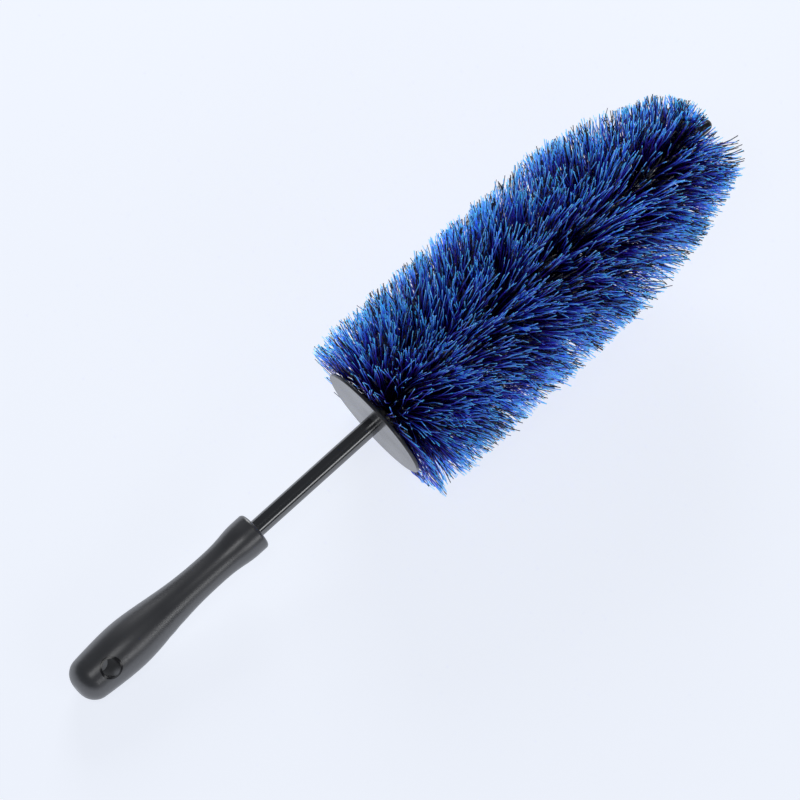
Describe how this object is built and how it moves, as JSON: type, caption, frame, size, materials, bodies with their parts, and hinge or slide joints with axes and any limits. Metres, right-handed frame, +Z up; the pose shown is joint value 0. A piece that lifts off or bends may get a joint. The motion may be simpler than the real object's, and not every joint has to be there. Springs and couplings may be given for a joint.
{
  "type": "wheel brush",
  "caption": "Long-handled car wheel brush: tapered blue bristle head on a twisted wire, round splash guard, slim black stem and a waisted soft-grip handle with a hanging hole.",
  "frame": {"origin": "middle of the bottom of the brush's bounding box, on the surface it lies on", "axes": "+X from the handle's tail to the tip of the head, +Z up, +Y to the left of +X; the brush's own axis rises from the tail to the tip at about 8.8 degrees"},
  "size_m": [0.4476, 0.1031, 0.1177],
  "materials": {
    "soft_grip": "matte soft-touch charcoal",
    "hard_core": "smooth moulded black",
    "stem_gloss": "glossy extruded black",
    "guard_satin": "satin moulded black",
    "cap_plastic": "dipped black",
    "wire_steel": "drawn galvanised wire",
    "bristle_blue": "stiff translucent blue filament"
  },
  "bodies": {
    "root": {"handle_grip": "soft_grip", "handle_core": "hard_core", "stem_tube": "stem_gloss", "tail_ferrule": "wire_steel", "splash_guard": "guard_satin", "tip_cap": "cap_plastic", "wire_strand_1": "wire_steel", "wire_strand_2": "wire_steel", "bristle_turn_01": "bristle_blue", "bristle_turn_02": "bristle_blue", "bristle_turn_03": "bristle_blue", "bristle_turn_04": "bristle_blue", "bristle_turn_05": "bristle_blue", "bristle_turn_06": "bristle_blue", "bristle_turn_07": "bristle_blue", "bristle_turn_08": "bristle_blue", "bristle_turn_09": "bristle_blue"}
  },
  "joints": []
}
